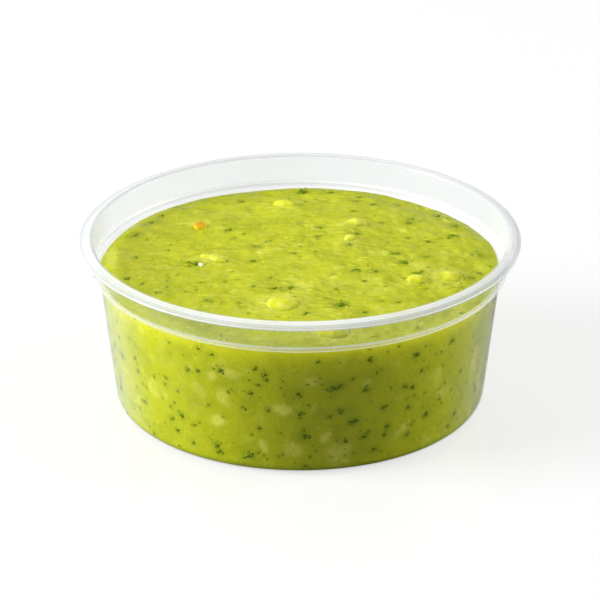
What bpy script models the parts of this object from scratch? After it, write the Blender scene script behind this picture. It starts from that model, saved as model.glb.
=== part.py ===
"""Guacamole in a round clear plastic tub with a flanged lip, standing on its flat base.

Metres, +Z up. The origin is the centre of the base, where the tub stands. +X is to the right and -Y is
the front. The tub is one thin turned shell. The guacamole fills its body up to the step under the lip,
with a low uneven dome on top, and the largest pieces of avocado, tomato and onion sit in pockets in it.
"""

import math
import random

import bmesh
import bpy
from mathutils import Vector

MM = 0.001

# Tub, measured on its outer skin
WALL = 0.6 * MM
LIP_UNDER_RADIUS = 58.28 * MM
LIP_UNDER_HEIGHT = 45.18 * MM
CREST_HEIGHT = 46.95 * MM
COLLAR_RADIUS = 55.15 * MM
COLLAR_BEAD_HEIGHT = 38.9 * MM
COLLAR_BEAD_DEPTH = 0.3 * MM
STEP_HEIGHT = 37.6 * MM
STEP_FALL = 0.25 * MM
BODY_TOP_RADIUS = 53.2 * MM
BASE_RADIUS = 48.9 * MM
BASE_CORNER = 3.5 * MM
TURN_STEPS = 64

# Guacamole
GAP = 0.3 * MM
FILL_HEIGHT = 37.4 * MM
EDGE_ROLL = 1.1 * MM
EDGE_ROLL_POWER = 16
DOME_RISE = 1.3 * MM
TOP_RINGS = 15
RELIEF_HEIGHT = 0.6 * MM
RELIEF_FADE = 6.0 * MM
MOUND_HEIGHT = 0.8 * MM

# Pieces that stand out of the top: name, x, y, length, width, height, turn in degrees, share sunk
AVOCADO_CHUNKS = (
    ("avocado_chunk_front", -4.5, -29.0, 10.5, 8.5, 6.5, -6, 0.80),
    ("avocado_chunk_rim", 8.6, -45.2, 10.0, 6.0, 5.0, 4, 0.80),
    ("avocado_chunk_right", 39.4, -11.2, 8.5, 8.5, 5.5, 25, 0.88),
    ("avocado_chunk_square", 30.4, -14.5, 5.5, 4.6, 4.5, -12, 0.80),
    ("avocado_chunk_back", 15.0, 22.5, 7.0, 5.5, 5.0, 15, 0.84),
    ("avocado_chunk_middle", 13.6, 11.6, 4.8, 4.4, 4.0, 40, 0.80),
    ("avocado_chunk_far", -4.2, 35.5, 7.5, 4.0, 4.0, -28, 0.78),
    ("avocado_chunk_left", -22.8, -2.4, 8.0, 2.8, 3.4, -30, 0.76),
)
TOMATO_PIECE = ("tomato_piece", -26.8, 22.5, 4.6, 3.6, 3.2, -35, 0.62)
ONION_PIECE = ("onion_piece", -26.0, -5.2, 2.6, 2.6, 2.8, -40, 0.70)
CHUNK_JITTER = 0.14
CHUNK_SEED = 7

# Finishes: linear colour, roughness, alpha
CLEAR_PLASTIC = ((0.90, 0.91, 0.91), 0.15, 0.25)
GUACAMOLE_GREEN = ((0.51, 0.56, 0.032), 0.35, 1.0)
AVOCADO_FLESH = ((0.76, 0.76, 0.08), 0.35, 1.0)
TOMATO_RED = ((0.78, 0.20, 0.02), 0.30, 1.0)
ONION_WHITE = ((0.82, 0.82, 0.66), 0.30, 1.0)


def clear_scene():
    """Remove every object that the file starts with."""
    for obj in list(bpy.data.objects):
        bpy.data.objects.remove(obj, do_unlink=True)


def new_collection(name):
    """Add a collection to the scene."""
    collection = bpy.data.collections.new(name)
    bpy.context.scene.collection.children.link(collection)
    return collection


def new_material(name, finish):
    """A Principled material with one colour, roughness and alpha."""
    colour, roughness, alpha = finish
    material = bpy.data.materials.new(name)
    material.use_nodes = True
    shader = material.node_tree.nodes["Principled BSDF"]
    shader.inputs["Base Color"].default_value = (*colour, 1.0)
    shader.inputs["Roughness"].default_value = roughness
    shader.inputs["Metallic"].default_value = 0.0
    shader.inputs["Alpha"].default_value = alpha
    material.diffuse_color = (*colour, alpha)
    return material


def new_object(name, mesh, collection, material=None):
    """Link a mesh into a collection as a named object."""
    obj = bpy.data.objects.new(name, mesh)
    collection.objects.link(obj)
    if material:
        mesh.materials.append(material)
    return obj


def rounded(corners):
    """Points along a profile of (radius, height, fillet, arc segments) corners, each fillet an arc."""
    points = []
    for i, (r, z, fillet, segments) in enumerate(corners):
        here = Vector((r, z))
        if not fillet or i in (0, len(corners) - 1):
            points.append(here)
            continue
        back = (Vector(corners[i - 1][:2]) - here).normalized()
        ahead = (Vector(corners[i + 1][:2]) - here).normalized()
        half = back.angle(ahead) / 2
        centre = here + (back + ahead).normalized() * fillet / math.sin(half)
        first = (here + back * fillet / math.tan(half) - centre).normalized()
        last = (here + ahead * fillet / math.tan(half) - centre).normalized()
        for step in range(segments + 1):
            points.append(centre + fillet * first.slerp(last, step / segments))
    return points


def turned(name, points, collection, material):
    """A solid or open skin of revolution: the points, down the outer side, turned about Z by a Screw."""
    mesh = bpy.data.meshes.new(name)
    edges = [(i, i + 1) for i in range(len(points) - 1)]
    mesh.from_pydata([(p.x, 0.0, p.y) for p in points], edges, [])
    obj = new_object(name, mesh, collection, material)
    screw = obj.modifiers.new("Turn", "SCREW")
    screw.steps = TURN_STEPS
    screw.render_steps = TURN_STEPS
    screw.use_merge_vertices = True
    screw.merge_threshold = 0.00001
    screw.use_smooth_shade = True
    return obj


def make_tub(collection, material):
    """The clear tub: its outer skin turned from under the lip to the centre of the base, then thickened."""
    corners = (
        (LIP_UNDER_RADIUS, LIP_UNDER_HEIGHT, 0, 0),
        (COLLAR_RADIUS, CREST_HEIGHT - WALL, 0.35 * MM, 2),
        (COLLAR_RADIUS, COLLAR_BEAD_HEIGHT, 0, 0),
        (COLLAR_RADIUS - COLLAR_BEAD_DEPTH, COLLAR_BEAD_HEIGHT - 0.4 * MM, 0, 0),
        (COLLAR_RADIUS - COLLAR_BEAD_DEPTH, STEP_HEIGHT, 0.7 * MM, 1),
        (BODY_TOP_RADIUS, STEP_HEIGHT - STEP_FALL, 0.35 * MM, 1),
        (BASE_RADIUS, 0.0, BASE_CORNER, 3),
        (0.0, 0.0, 0, 0),
    )
    tub = turned("tub", rounded(corners), collection, material)
    shell = tub.modifiers.new("Wall", "SOLIDIFY")
    shell.thickness = WALL
    shell.offset = -1.0
    shell.use_even_offset = True
    shell.use_rim = True
    return tub


def fill_radius(height):
    """The guacamole's radius at a height: the tub's inner wall less the gap."""
    taper = (BODY_TOP_RADIUS - BASE_RADIUS) / STEP_HEIGHT
    outer = BASE_RADIUS + taper * height
    return outer - (WALL + GAP) * math.hypot(1.0, taper)


def dome_height(radius):
    """The height of the even dome at a radius, rolled over at the wall."""
    share = min(radius / fill_radius(FILL_HEIGHT), 1.0)
    return FILL_HEIGHT + EDGE_ROLL * (1 - share**EDGE_ROLL_POWER) + DOME_RISE * (1 - share**2)


def relief(x, y):
    """How far the spooned surface stands above the even dome: broad waves and a mound at each piece."""
    waves = math.sin(x / (8.1 * MM) + 1.3 * math.sin(y / (11.0 * MM)))
    waves += 0.7 * math.sin(y / (5.3 * MM) + 0.8 * math.sin(x / (9.0 * MM)) + 2.0)
    waves += 0.5 * math.sin((x + y) / (4.2 * MM) + 0.7)
    height = RELIEF_HEIGHT * waves / 2.2
    for _, px, py, length, width, _, turn, _ in AVOCADO_CHUNKS:
        dx, dy = x - px * MM, y - py * MM
        c, s = math.cos(math.radians(turn)), math.sin(math.radians(turn))
        along = (dx * c + dy * s) / (0.75 * length * MM)
        across = (dy * c - dx * s) / (0.75 * width * MM)
        height += MOUND_HEIGHT * math.exp(-(along**2) - across**2)
    edge = (fill_radius(FILL_HEIGHT) - math.hypot(x, y)) / RELIEF_FADE
    return height * min(max(edge, 0.0), 1.0)


def surface_height(x, y):
    """The height of the guacamole's top at a place."""
    return dome_height(math.hypot(x, y)) + relief(x, y)


def make_guacamole(collection, material):
    """The guacamole: a turned solid up to the fill height whose top is then moved to the uneven surface."""
    edge = fill_radius(FILL_HEIGHT)
    foot = WALL + GAP
    # Rings crowd towards the wall, where the surface rolls over.
    top = [Vector((edge * math.sin(math.pi / 2 * i / TOP_RINGS), 0.0)) for i in range(TOP_RINGS + 1)]
    for point in top:
        point.y = dome_height(point.x)
    corners = (
        (edge, FILL_HEIGHT, 0, 0),
        (fill_radius(foot), foot, BASE_CORNER - foot, 3),
        (0.0, foot, 0, 0),
    )
    turned_obj = turned("guacamole_turned", top + rounded(corners)[1:], collection, None)
    graph = bpy.context.evaluated_depsgraph_get()
    mesh = bpy.data.meshes.new_from_object(turned_obj.evaluated_get(graph))
    bpy.data.objects.remove(turned_obj, do_unlink=True)
    for vertex in mesh.vertices:
        if vertex.co.z > FILL_HEIGHT + 0.01 * MM:
            vertex.co.z += relief(vertex.co.x, vertex.co.y)
    mesh.name = "guacamole"
    return new_object("guacamole", mesh, collection, material)


def chunk_mesh(name, length, width, height, seed):
    """A cage for one irregular piece: a block with each corner shifted a little, to be subdivided."""
    mesh = bpy.data.meshes.new(name)
    shape = bmesh.new()
    bmesh.ops.create_cube(shape, size=1.0)
    rng = random.Random(seed)
    for vertex in shape.verts:
        for axis in range(3):
            vertex.co[axis] *= 1.25 + rng.uniform(-CHUNK_JITTER, CHUNK_JITTER)
        vertex.co.x *= length * MM
        vertex.co.y *= width * MM
        vertex.co.z *= height * MM
    shape.to_mesh(mesh)
    shape.free()
    mesh.shade_smooth()
    return mesh


def place_chunk(obj, row):
    """Set a piece in the surface, sunk by its share, and round it by subdivision."""
    _, x, y, _, _, height, turn, sunk = row
    top = surface_height(x * MM, y * MM) + (1 - sunk) * height * MM
    obj.location = (x * MM, y * MM, top - height * MM / 2)
    obj.rotation_euler = (0.0, 0.0, math.radians(turn))
    rounding = obj.modifiers.new("Rounding", "SUBSURF")
    rounding.levels = 2
    rounding.render_levels = 2


def make_chunks(rows, collection, cutters, material, guacamole, seed):
    """Each piece, and the pocket that it sits in, a gap wider all round."""
    for i, row in enumerate(rows):
        name, _, _, length, width, height, _, _ = row
        piece = new_object(name, chunk_mesh(name, length, width, height, seed + i), collection, material)
        place_chunk(piece, row)
        pocket = new_object(name + "_pocket", piece.data.copy(), cutters)
        place_chunk(pocket, row)
        growth = pocket.modifiers.new("Gap", "DISPLACE")
        growth.strength = GAP
        growth.mid_level = 0.0
        pocket.hide_render = True
        pocket.display_type = "WIRE"
        cut = guacamole.modifiers.new(name + "_cut", "BOOLEAN")
        cut.operation = "DIFFERENCE"
        cut.object = pocket
        cut.solver = "EXACT"


def main():
    clear_scene()
    parts = new_collection("guacamole_tub")
    cutters = new_collection("pockets")
    cutters.hide_render = True
    make_tub(parts, new_material("clear_plastic", CLEAR_PLASTIC))
    guacamole = make_guacamole(parts, new_material("guacamole", GUACAMOLE_GREEN))
    flesh = new_material("avocado_flesh", AVOCADO_FLESH)
    tomato = new_material("tomato_red", TOMATO_RED)
    onion = new_material("onion_white", ONION_WHITE)
    make_chunks(AVOCADO_CHUNKS, parts, cutters, flesh, guacamole, CHUNK_SEED)
    make_chunks((TOMATO_PIECE,), parts, cutters, tomato, guacamole, CHUNK_SEED + 20)
    make_chunks((ONION_PIECE,), parts, cutters, onion, guacamole, CHUNK_SEED + 30)


main()
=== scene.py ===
"""Guacamole in a clear plastic tub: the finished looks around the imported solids.

Laid out as an add-on and run as a script. Each operator makes one piece or one group of like pieces; the
panel in the 3D view's sidebar lists them in order. Lengths are in metres, +Z is up and -Y is the front.
"""

import math

import bmesh
import bpy
import numpy as np
from bpy.props import FloatProperty, FloatVectorProperty, IntProperty, PointerProperty
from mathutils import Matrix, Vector, noise


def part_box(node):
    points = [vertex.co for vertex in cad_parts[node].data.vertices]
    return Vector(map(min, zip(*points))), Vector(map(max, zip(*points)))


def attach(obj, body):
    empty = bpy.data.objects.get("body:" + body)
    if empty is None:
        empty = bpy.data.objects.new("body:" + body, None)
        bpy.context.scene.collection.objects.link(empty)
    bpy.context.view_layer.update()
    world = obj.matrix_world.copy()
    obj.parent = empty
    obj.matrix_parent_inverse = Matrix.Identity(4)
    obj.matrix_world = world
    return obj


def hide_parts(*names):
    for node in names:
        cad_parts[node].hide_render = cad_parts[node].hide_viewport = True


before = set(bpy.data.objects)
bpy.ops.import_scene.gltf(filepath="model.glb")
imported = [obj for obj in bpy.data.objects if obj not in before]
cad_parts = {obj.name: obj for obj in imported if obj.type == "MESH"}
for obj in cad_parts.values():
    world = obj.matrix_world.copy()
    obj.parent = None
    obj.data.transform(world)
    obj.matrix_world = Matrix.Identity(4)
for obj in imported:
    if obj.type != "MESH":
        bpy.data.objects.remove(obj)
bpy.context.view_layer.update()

bl_info = {
    "name": "Guacamole in a clear tub",
    "version": (1, 0, 0),
    "blender": (4, 5, 0),
    "location": "3D View > Sidebar > Guacamole",
    "description": "Builds a clear deli tub of chunky guacamole, piece by piece",
    "category": "Add Mesh",
}

MM = 0.001
BODY = "root"
LIP_LEVEL = 45.3 * MM  # height that the camera is placed from
TUB_LOW, TUB_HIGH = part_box("tub")
CHUNK_NODES = sorted(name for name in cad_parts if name.startswith("avocado_chunk"))


def linear(red, green, blue):
    """A screen colour of 0 to 255 as the linear colour that shaders take."""
    shares = (red / 255, green / 255, blue / 255)
    return tuple(s / 12.92 if s <= 0.04045 else ((s + 0.055) / 1.055) ** 2.4 for s in shares)


# ---------------------------------------------------------------- sizes and colours


def length(name, description, default):
    """A length property in metres."""
    return FloatProperty(
        name=name, description=description, default=default, min=0.0, unit="LENGTH", precision=5
    )


def colour(name, description, red, green, blue):
    """A colour property, given as a screen colour."""
    shades = linear(red, green, blue)
    return FloatVectorProperty(
        name=name, description=description, default=shades, subtype="COLOR", min=0.0, max=1.0
    )


class TubSizes(bpy.types.PropertyGroup):
    """Sizes of the clear tub, on its outer skin."""

    wall: length("Wall", "Thickness of the plastic", 0.6 * MM)
    lip_radius: length("Lip radius", "Outer edge of the lip", TUB_HIGH.x)
    lip_height: length("Lip height", "Underside of the lip's outer edge", 45.18 * MM)
    height: length("Height", "Top of the lip's crest", TUB_HIGH.z)
    collar_radius: length("Collar radius", "Upright band under the lip", 55.15 * MM)
    bead_height: length("Bead height", "Crease round the collar", 38.9 * MM)
    bead_depth: length("Bead depth", "How far the collar draws in at the crease", 0.3 * MM)
    step_height: length("Step height", "Where the collar steps in to the body", 37.6 * MM)
    body_radius: length("Body radius", "Top of the tapered body", 53.2 * MM)
    base_radius: length("Base radius", "Body carried down to the base", 48.9 * MM)
    base_corner: length("Base corner", "Rounding between body and base", 3.5 * MM)
    turns: IntProperty(
        name="Turns", description="Segments round the tub", default=256, min=32, max=512
    )


class PasteSizes(bpy.types.PropertyGroup):
    """Sizes of the guacamole's surface."""

    fill: length("Fill", "Height of the paste at the wall", 37.4 * MM)
    edge_roll: length("Edge roll", "How far the surface rises as it leaves the wall", 1.1 * MM)
    dome: length("Dome", "Rise from wall to centre", 1.3 * MM)
    waves: length("Waves", "Height of the broad waves", 0.6 * MM)
    mounds: length("Mounds", "Rise of the paste round each large piece", 0.75 * MM)
    lumps: length("Lumps", "Height of the soft lumps", 0.36 * MM)
    smears: length("Smears", "Height of the spatula's smears", 0.16 * MM)
    rings: IntProperty(name="Rings", description="Rings of the top surface", default=132, min=20, max=300)
    segments: IntProperty(
        name="Segments", description="Segments round the paste", default=400, min=64, max=720
    )


class FinishColours(bpy.types.PropertyGroup):
    """Colours of the food and the plastic."""

    paste: colour("Paste", "Mashed avocado", 189, 196, 18)
    paste_deep: colour("Deep paste", "Greener, deeper mash", 168, 178, 14)
    paste_pale: colour("Pale paste", "Lighter, creamier mash", 214, 217, 56)
    # Painted light: brighter mash just under the fill line, standing in for light let through from above
    paste_painted_glow: colour("Glowing paste", "Mash that light reaches through from above", 226, 220, 40)
    flesh: colour("Avocado flesh", "Yellow-green pieces", 210, 213, 36)
    flesh_pale: colour("Pale flesh", "Creamy edge of the pieces", 224, 226, 86)
    leaf: colour("Leaf", "Chopped coriander leaf", 90, 124, 2)
    leaf_soft: colour("Soft leaf", "Leaf under a film of paste", 136, 154, 6)
    tomato: colour("Tomato", "Tomato skin", 214, 98, 14)
    tomato_flesh: colour("Tomato flesh", "Yellow flesh round the skin", 226, 190, 30)
    onion: colour("Onion", "White onion", 226, 230, 205)
    plastic: colour("Plastic", "Haze in the polypropylene", 218, 221, 221)
    plastic_tint: colour("Plastic tint", "What one skin lets through", 250, 251, 251)


class StageSizes(bpy.types.PropertyGroup):
    """Camera, lamps and floor."""

    distance: length("Camera distance", "From the lip's centre to the lens", 1.0)
    elevation: FloatProperty(
        name="Elevation", description="Camera above level", default=math.radians(23.5), subtype="ANGLE"
    )
    aim_height: length("Aim height", "Height that the camera looks at", 27.4 * MM)
    lens: FloatProperty(name="Lens", description="Focal length on a 36 mm sensor", default=227.2)
    sky: FloatProperty(name="Sky", description="Strength of the white surroundings as a light", default=0.27)
    sky_gloss: FloatProperty(name="Sky in gloss", description="Strength that reflections see", default=0.22)
    key: FloatProperty(name="Key lamp", description="Left lamp", default=28.0, unit="POWER")
    fill: FloatProperty(name="Fill lamp", description="Right lamp", default=12.5, unit="POWER")
    top: FloatProperty(name="Top lamp", description="Overhead lamp", default=5.0, unit="POWER")


GROUPS = {
    "guac_tub": TubSizes,
    "guac_paste": PasteSizes,
    "guac_colours": FinishColours,
    "guac_stage": StageSizes,
}


# ---------------------------------------------------------------- surface of the paste

WALL_CREEP = 0.3 * MM  # how unevenly the paste meets the wall
NOISE_TILE = 64  # cells after which the noise repeats

# Thin folds on the top: both ends from the tub's axis, height and width, in millimetres
RIDGES = (
    (-40.0, 11.0, -33.5, 20.5, 0.30, 0.9),
    (-27.5, 1.2, -17.0, -2.4, 0.45, 1.1),
    (-32.0, 26.5, -22.0, 31.0, 0.25, 0.9),
    (16.5, 8.5, 24.5, 3.0, 0.35, 1.3),
    (-20.0, 36.0, -8.0, 38.5, 0.22, 1.0),
)


def soft_noise(x, y, cell, seed):
    """Smooth random values from -1 to 1 on a square lattice of the given cell."""
    lattice = np.random.default_rng(seed).uniform(-1.0, 1.0, (NOISE_TILE, NOISE_TILE))
    u, v = x / cell, y / cell
    i, j = np.floor(u).astype(int), np.floor(v).astype(int)
    a, b = u - i, v - j
    a, b = a**3 * (a * (a * 6 - 15) + 10), b**3 * (b * (b * 6 - 15) + 10)
    i0, j0, i1, j1 = i % NOISE_TILE, j % NOISE_TILE, (i + 1) % NOISE_TILE, (j + 1) % NOISE_TILE
    low = lattice[i0, j0] * (1 - a) + lattice[i1, j0] * a
    high = lattice[i0, j1] * (1 - a) + lattice[i1, j1] * a
    return low * (1 - b) + high * b


def turned_noise(x, y, cell, seed, turn, stretch=1.0):
    """soft_noise on axes turned by some degrees and stretched along the first of them."""
    c, s = math.cos(math.radians(turn)), math.sin(math.radians(turn))
    return soft_noise((x * c + y * s) / stretch, y * c - x * s, cell, seed)


class Surface:
    """The guacamole's shape: radius at a height, and height of its top at a place."""

    def __init__(self, tub, paste):
        self.tub = tub
        self.paste = paste
        self.taper = (tub.body_radius - tub.base_radius) / tub.step_height
        self.edge = self.wall_radius(paste.fill)
        self.climb = WALL_CREEP
        self.mounds = []
        for name in CHUNK_NODES:
            low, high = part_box(name)
            self.mounds.append(((low + high) / 2, (high - low) / 2))

    def wall_radius(self, height):
        """Radius of the paste where it presses into the wall: halfway through the plastic."""
        outer = self.tub.base_radius + self.taper * height
        return outer - 0.5 * self.tub.wall * math.hypot(1.0, self.taper)

    def wall_line(self, x, y):
        """How far the paste has crept up or slumped down the wall, in this direction."""
        scale = self.edge / np.maximum(np.hypot(x, y), 1e-9)
        u, v = x * scale, y * scale
        return self.climb * (soft_noise(u, v, 13.0 * MM, 21) + 0.4 * soft_noise(u, v, 4.5 * MM, 22))

    def broad(self, x, y):
        """Even dome, broad waves and a mound under each large piece."""
        part = np.clip(np.hypot(x, y) / self.edge, 0.0, 1.0)
        p = self.paste
        height = p.fill + p.edge_roll * (1 - part**16) + p.dome * (1 - part**2)
        height = height + self.wall_line(x, y) * part**10
        waves = np.sin(x / (8.1 * MM) + 1.3 * np.sin(y / (11.0 * MM)))
        waves += 0.7 * np.sin(y / (5.3 * MM) + 0.8 * np.sin(x / (9.0 * MM)) + 2.0)
        waves += 0.5 * np.sin((x + y) / (4.2 * MM) + 0.7)
        bumps = p.waves * waves / 2.2
        for centre, half in self.mounds:
            along = (x - centre.x) / (1.5 * half.x)
            across = (y - centre.y) / (1.5 * half.y)
            bumps = bumps + p.mounds * np.exp(-(along**2) - across**2)
        fade = np.clip((self.edge - np.hypot(x, y)) / (6.0 * MM), 0.0, 1.0)
        return height + bumps * fade

    def fine(self, x, y):
        """Soft lumps, smears drawn by the spatula and thin folds."""
        p = self.paste
        lumps = 0.6 * turned_noise(x, y, 5.2 * MM, 11, 20)
        lumps = lumps + 0.4 * turned_noise(x, y, 2.6 * MM, 12, 65)
        grain = turned_noise(x, y, 1.3 * MM, 13, 35)
        patch = 0.5 + 0.5 * turned_noise(x, y, 14.0 * MM, 14, 10)
        smears = turned_noise(x, y, 1.0 * MM, 15, 6, 5.0)
        smears = smears + 0.6 * turned_noise(x, y, 0.62 * MM, 16, -8, 4.0)
        height = p.lumps * lumps + 0.10 * MM * grain + p.smears * patch * smears
        for x0, y0, x1, y1, rise, width in RIDGES:
            start, end = np.array((x0, y0)) * MM, np.array((x1, y1)) * MM
            run = end - start
            t = np.clip(((x - start[0]) * run[0] + (y - start[1]) * run[1]) / run.dot(run), 0.0, 1.0)
            bend = 0.08 * np.sin(math.pi * t)
            beside = x - start[0] - t * run[0] + bend * run[1]
            beyond = y - start[1] - t * run[1] - bend * run[0]
            off = np.hypot(beside, beyond)
            taper = np.sin(math.pi * (0.06 + 0.88 * t))
            height = height + rise * MM * taper * np.exp(-((off / (0.5 * width * MM)) ** 2))
        fade = np.clip((self.edge - np.hypot(x, y)) / (2.5 * MM), 0.0, 1.0)
        return height * fade

    def top(self, x, y):
        """Height of the top surface at a place."""
        return self.broad(x, y) + self.fine(x, y)

    def level(self, x, y):
        """Height of the top surface at one place, as a plain number."""
        return float(self.top(np.array(x), np.array(y)))

    def slope(self, x, y):
        """Upward normal of the top surface at a place."""
        d = 0.3 * MM
        dx = (self.top(x + d, y) - self.top(x - d, y)) / (2 * d)
        dy = (self.top(x, y + d) - self.top(x, y - d)) / (2 * d)
        return Vector((-float(dx), -float(dy), 1.0)).normalized()


# ---------------------------------------------------------------- meshes


def new_piece(name, mesh, material, *nodes, slot):
    """A visible piece that rides on the tub's body and stands for the named nodes."""
    obj = bpy.data.objects.new(name, mesh)
    bpy.context.scene.collection.objects.link(obj)
    mesh.materials.append(material)
    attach(obj, BODY)
    if nodes:
        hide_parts(*nodes)
    return obj


def make_mesh(name, points, faces, **layers):
    """A smooth mesh with named values at its points."""
    mesh = bpy.data.meshes.new(name)
    mesh.from_pydata(points, [], faces)
    for key, values in layers.items():
        layer = mesh.attributes.new(key, "FLOAT", "POINT")
        layer.data.foreach_set("value", np.asarray(values, np.float32))
    mesh.shade_smooth()
    return mesh


class Heap:
    """Collects many small closed shapes into one mesh."""

    def __init__(self):
        self.points, self.faces, self.shade = [], [], []

    def add(self, points, faces, shade=0.0):
        """Add one shape, with a shade value that its material reads."""
        start = len(self.points)
        self.points.extend(tuple(p) for p in points)
        self.faces.extend(tuple(start + i for i in face) for face in faces)
        self.shade.extend([shade] * len(points))

    def mesh(self, name):
        """The mesh of all shapes, shaded smooth."""
        return make_mesh(name, self.points, self.faces, shade=self.shade)


def ball_template(level):
    """Unit icosphere as points and faces."""
    shape = bmesh.new()
    bmesh.ops.create_icosphere(shape, subdivisions=level, radius=1.0)
    points = [v.co.copy() for v in shape.verts]
    faces = [tuple(v.index for v in f.verts) for f in shape.faces]
    shape.free()
    return points, faces


def place(points, centre, normal, turn):
    """Points moved from flat on the XY plane at the origin to a place, a normal and a turn about it."""
    spin = Vector((math.cos(turn), math.sin(turn), 0.0))
    side = (spin - normal * spin.dot(normal)).normalized()
    other = normal.cross(side)
    return [centre + side * p.x + other * p.y + normal * p.z for p in points]


def lump(rng, template, long, wide, tall, rough=0.25):
    """An irregular soft lump of the given half sizes."""
    shift = Vector(rng.uniform(-50, 50, 3))
    points = []
    for p in template[0]:
        swell = 1 + rough * noise.noise(p * 1.3 + shift) + 0.5 * rough * noise.noise(p * 2.9 + shift)
        points.append(Vector((p.x * long * swell, p.y * wide * swell, p.z * tall * swell)))
    return points


def leaf_bit(rng, long, wide, thick):
    """A torn scrap of leaf, lying flat: points and faces of a thin closed shape with a ragged outline."""
    count = int(rng.integers(7, 12))
    around = (np.arange(count) + rng.uniform(-0.3, 0.3, count)) / count * 2 * math.pi
    reach = rng.uniform(0.55, 1.15, count)
    curl = rng.uniform(-0.25, 0.45) * long
    upper, lower = [Vector((0, 0, thick))], [Vector((0, 0, -thick))]
    for angle, r in zip(around, reach):
        x, y = math.cos(angle) * r * long, math.sin(angle) * r * wide
        z = curl * (x / long) ** 2 * 0.5 + rng.uniform(-0.4, 0.4) * thick
        upper.append(Vector((x, y, z + 0.35 * thick)))
        lower.append(Vector((x, y, z - 0.35 * thick)))
    points = upper + lower
    base = count + 1
    faces = []
    for i in range(count):
        a, b = 1 + i, 1 + (i + 1) % count
        faces.append((0, a, b))
        faces.append((base, base + b, base + a))
        faces.append((a, base + a, base + b, b))
    return points, faces


# ---------------------------------------------------------------- shader helpers


def new_material(name):
    """An empty node material and its output node."""
    material = bpy.data.materials.new(name)
    material.use_nodes = True
    material.node_tree.nodes.clear()
    return material, material.node_tree


def add(tree, kind, **settings):
    """Add a node; settings are its properties."""
    node = tree.nodes.new(kind)
    for key, value in settings.items():
        setattr(node, key, value)
    return node


def feed(tree, node, **values):
    """Set or link a node's inputs by name, with _ for a space."""
    for key, value in values.items():
        socket = node.inputs[key.replace("_", " ")]
        if isinstance(value, bpy.types.NodeSocket):
            tree.links.new(value, socket)
        elif socket.type == "RGBA" and len(value) == 3:
            socket.default_value = (*value, 1.0)
        else:
            socket.default_value = value
    return node


def noise_value(tree, vector, scale, detail=2.0, rough=0.5, distortion=0.0):
    """A noise texture's value at so many features per metre."""
    node = add(tree, "ShaderNodeTexNoise")
    feed(tree, node, Vector=vector, Scale=scale, Detail=detail, Roughness=rough, Distortion=distortion)
    return node.outputs["Fac"]


def ranged(tree, value, low, high, to_low=0.0, to_high=1.0, smooth=True):
    """A value mapped from one range to another, clamped."""
    node = add(tree, "ShaderNodeMapRange", interpolation_type="SMOOTHSTEP" if smooth else "LINEAR")
    feed(tree, node, Value=value, From_Min=low, From_Max=high, To_Min=to_low, To_Max=to_high)
    return node.outputs["Result"]


def math_node(tree, operation, first, second):
    """A maths node on two values or links."""
    node = add(tree, "ShaderNodeMath", operation=operation)
    for socket, value in zip(node.inputs, (first, second)):
        if isinstance(value, bpy.types.NodeSocket):
            tree.links.new(value, socket)
        else:
            socket.default_value = value
    return node.outputs[0]


def blended(tree, factor, first, second, mode="MIX"):
    """A mix of two colours."""
    node = add(tree, "ShaderNodeMix", data_type="RGBA", blend_type=mode)
    for socket, value in ((node.inputs[0], factor), (node.inputs[6], first), (node.inputs[7], second)):
        if isinstance(value, bpy.types.NodeSocket):
            tree.links.new(value, socket)
        elif socket.type == "RGBA":
            socket.default_value = (*value, 1.0)
        else:
            socket.default_value = value
    return node.outputs[2]


def attribute(tree, name):
    """A mesh's named value."""
    return add(tree, "ShaderNodeAttribute", attribute_name=name).outputs["Fac"]


def place_vector(tree, stretch=(1.0, 1.0, 1.0), turn=0.0):
    """Object coordinates, stretched and turned about Z."""
    source = add(tree, "ShaderNodeTexCoord").outputs["Object"]
    mapping = add(tree, "ShaderNodeMapping")
    feed(tree, mapping, Vector=source, Scale=stretch, Rotation=(0.0, 0.0, math.radians(turn)))
    return mapping.outputs["Vector"]


# Haze of one skin of plastic: up the wall by height, and across the lip by radius, in millimetres; partly
# the plastic's own milkiness, partly painted highlight at the two creases and painted reflection across the
# lip
WALL_HAZE_AND_PAINTED_HIGHLIGHT = (
    (36.7, 0.004), (37.15, 0.01), (37.3, 0.45), (37.6, 0.45), (37.75, 0.20), (38.6, 0.20),
    (38.72, 0.45), (39.0, 0.45), (39.15, 0.05), (45.9, 0.06), (46.3, 0.25),
)
LIP_HAZE_AND_PAINTED_REFLECTION = (
    (54.4, 0.12), (55.1, 0.42), (55.5, 0.52), (55.9, 0.70), (56.3, 0.68), (56.6, 0.56), (56.95, 0.66),
    (57.35, 0.50), (58.0, 0.44), (58.3, 0.55), (58.5, 0.60),
)
# Painted highlights: light emitted along the moulded edges, by height and by radius
WALL_PAINTED_HIGHLIGHT = (
    (37.2, 0.0), (37.32, 0.45), (37.58, 0.45), (37.7, 0.0),
    (38.62, 0.0), (38.74, 0.40), (38.98, 0.40), (39.1, 0.0),
)
LIP_PAINTED_HIGHLIGHT = (
    (54.6, 0.02), (55.5, 0.08), (55.9, 0.30), (56.2, 0.10),
    (57.0, 0.14), (57.3, 0.0), (58.2, 0.0), (58.4, 0.45),
)


def banded(tree, height, stops):
    """A value that follows (height or radius in millimetres, value) stops."""
    low, high = stops[0][0], stops[-1][0]
    ramp = add(tree, "ShaderNodeValToRGB")
    feed(tree, ramp, Fac=ranged(tree, height, low * MM, high * MM, smooth=False))
    band = ramp.color_ramp
    for index, (at, value) in enumerate(stops):
        spot = (at - low) / (high - low)
        if index == 0:
            stop = band.elements[0]
        elif index == len(stops) - 1:
            stop = band.elements[-1]
        else:
            stop = band.elements.new(spot)
        stop.color = (value, value, value, 1.0)
    return ramp.outputs["Color"]


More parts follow.
